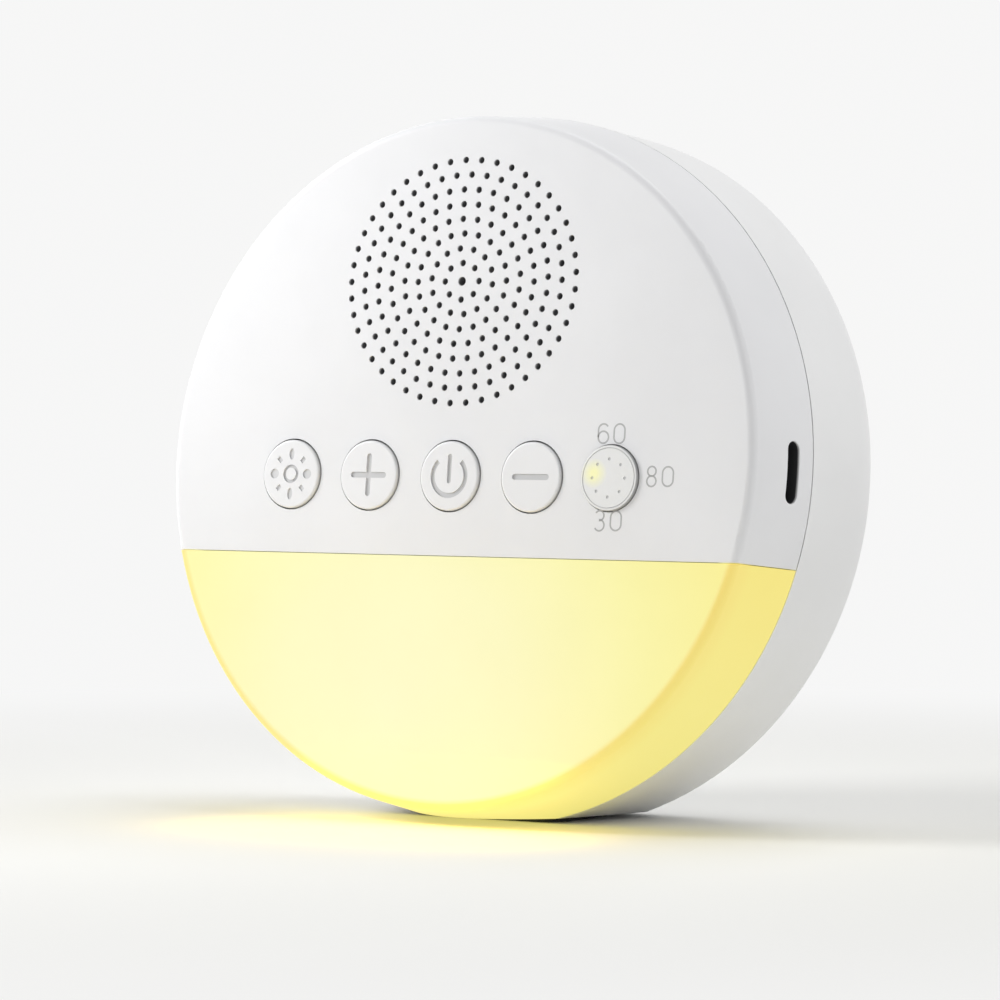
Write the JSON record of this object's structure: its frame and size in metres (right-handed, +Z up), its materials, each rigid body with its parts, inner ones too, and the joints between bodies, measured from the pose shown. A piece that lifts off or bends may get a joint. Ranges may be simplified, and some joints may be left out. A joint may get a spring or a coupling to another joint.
{
  "type": "white noise sound machine",
  "caption": "Round white sound machine that leans back on a small flat, with a lit lower segment, speaker grille, push buttons, timer dial and USB-C inlet.",
  "frame": {"origin": "on the table, under the middle of the drum's bounding box", "axes": "+Z up, the face with the controls looks along -Y and a little up, +X to the viewer's right"},
  "size_m": [0.1101, 0.0473, 0.1085],
  "materials": {
    "white_shell": "satin moulded ABS",
    "diffuser": "milky translucent moulding, lit warm yellow from inside",
    "button_white": "satin moulded ABS",
    "dial_milky": "translucent satin moulding",
    "foot_rubber": "matte rubber",
    "shaft_plastic": "moulded acetal",
    "switch_black": "moulded",
    "led_warm": "phosphor LED package",
    "board_green": "solder mask",
    "board_white": "white solder mask",
    "board_brown": "phenolic strip",
    "reflector_white": "white sheet",
    "screw_steel": "zinc plated",
    "mesh_cloth": "black woven mesh",
    "foam_black": "closed-cell foam",
    "basket_steel": "zinc plated pressing",
    "surround_rubber": "matte butyl",
    "cone_paper": "pressed black paper",
    "coil_copper": "enamelled copper wire",
    "spider_cloth": "phenolic cloth",
    "magnet_ferrite": "ground ferrite",
    "usb_steel": "drawn steel",
    "usb_black": "moulded",
    "chip_black": "moulded epoxy",
    "capacitor_sleeve": "shrunk sleeve",
    "socket_nylon": "moulded nylon",
    "battery_wrap": "laminated foil",
    "wire_red": "PVC insulation",
    "wire_black": "PVC insulation",
    "wire_white": "PVC insulation"
  },
  "bodies": {
    "drum": {"battery": "battery_wrap", "battery_lead": "wire_black", "battery_tape": "foam_black", "board_capacitors": "capacitor_sleeve", "board_chips": "chip_black", "board_screws": "screw_steel", "case_screws": "screw_steel", "dust_mesh": "mesh_cloth", "front_shell": "white_shell", "lead_plugs": "socket_nylon", "lead_sockets": "socket_nylon", "light_board": "board_white", "light_diffuser": "diffuser", "light_lead": "wire_white", "light_leds": "led_warm", "light_reflector": "reflector_white", "light_switch": "switch_black", "main_board": "board_green", "minus_switch": "switch_black", "plus_switch": "switch_black", "power_switch": "switch_black", "rear_shell": "white_shell", "rubber_foot": "foot_rubber", "speaker_basket": "basket_steel", "speaker_cone": "cone_paper", "speaker_dust_cap": "cone_paper", "speaker_gasket": "foam_black", "speaker_lead": "wire_red", "speaker_magnet": "magnet_ferrite", "speaker_screws": "screw_steel", "speaker_spider": "spider_cloth", "speaker_surround": "surround_rubber", "speaker_terminals": "board_brown", "speaker_top_plate": "basket_steel", "speaker_yoke": "basket_steel", "timer_encoder": "switch_black", "timer_lamp": "led_warm", "usb_shell": "usb_steel", "usb_tongue": "usb_black", "voice_coil": "coil_copper"},
    "light_button": {"light_button": "button_white", "light_plunger": "shaft_plastic"},
    "plus_button": {"plus_button": "button_white", "plus_plunger": "shaft_plastic"},
    "power_button": {"power_button": "button_white", "power_plunger": "shaft_plastic"},
    "minus_button": {"minus_button": "button_white", "minus_plunger": "shaft_plastic"},
    "timer_rotor": {"timer_rotor": "shaft_plastic"},
    "timer_dial": {"timer_dial": "dial_milky", "timer_shaft": "shaft_plastic"}
  },
  "joints": [
    {"name": "light_press", "type": "slide", "parent": "drum", "child": "light_button", "axis": [0, 0.9945, -0.1045], "range_m": [0, 0.0005], "stiffness_N_per_m": 400, "springref_m": -0.0005},
    {"name": "plus_press", "type": "slide", "parent": "drum", "child": "plus_button", "axis": [0, 0.9945, -0.1045], "range_m": [0, 0.0005], "stiffness_N_per_m": 400, "springref_m": -0.0005},
    {"name": "power_press", "type": "slide", "parent": "drum", "child": "power_button", "axis": [0, 0.9945, -0.1045], "range_m": [0, 0.0005], "stiffness_N_per_m": 400, "springref_m": -0.0005},
    {"name": "minus_press", "type": "slide", "parent": "drum", "child": "minus_button", "axis": [0, 0.9945, -0.1045], "range_m": [0, 0.0005], "stiffness_N_per_m": 400, "springref_m": -0.0005},
    {"name": "timer_turn", "type": "hinge", "parent": "drum", "child": "timer_rotor", "pos_m": [0.0286, -0.01846, 0.05306], "axis": [0, 0.9945, -0.1045], "range_deg": [0, 270]},
    {"name": "timer_press", "type": "slide", "parent": "timer_rotor", "child": "timer_dial", "axis": [0, 0.9945, -0.1045], "range_m": [0, 0.0005], "stiffness_N_per_m": 400, "springref_m": -0.0005}
  ]
}
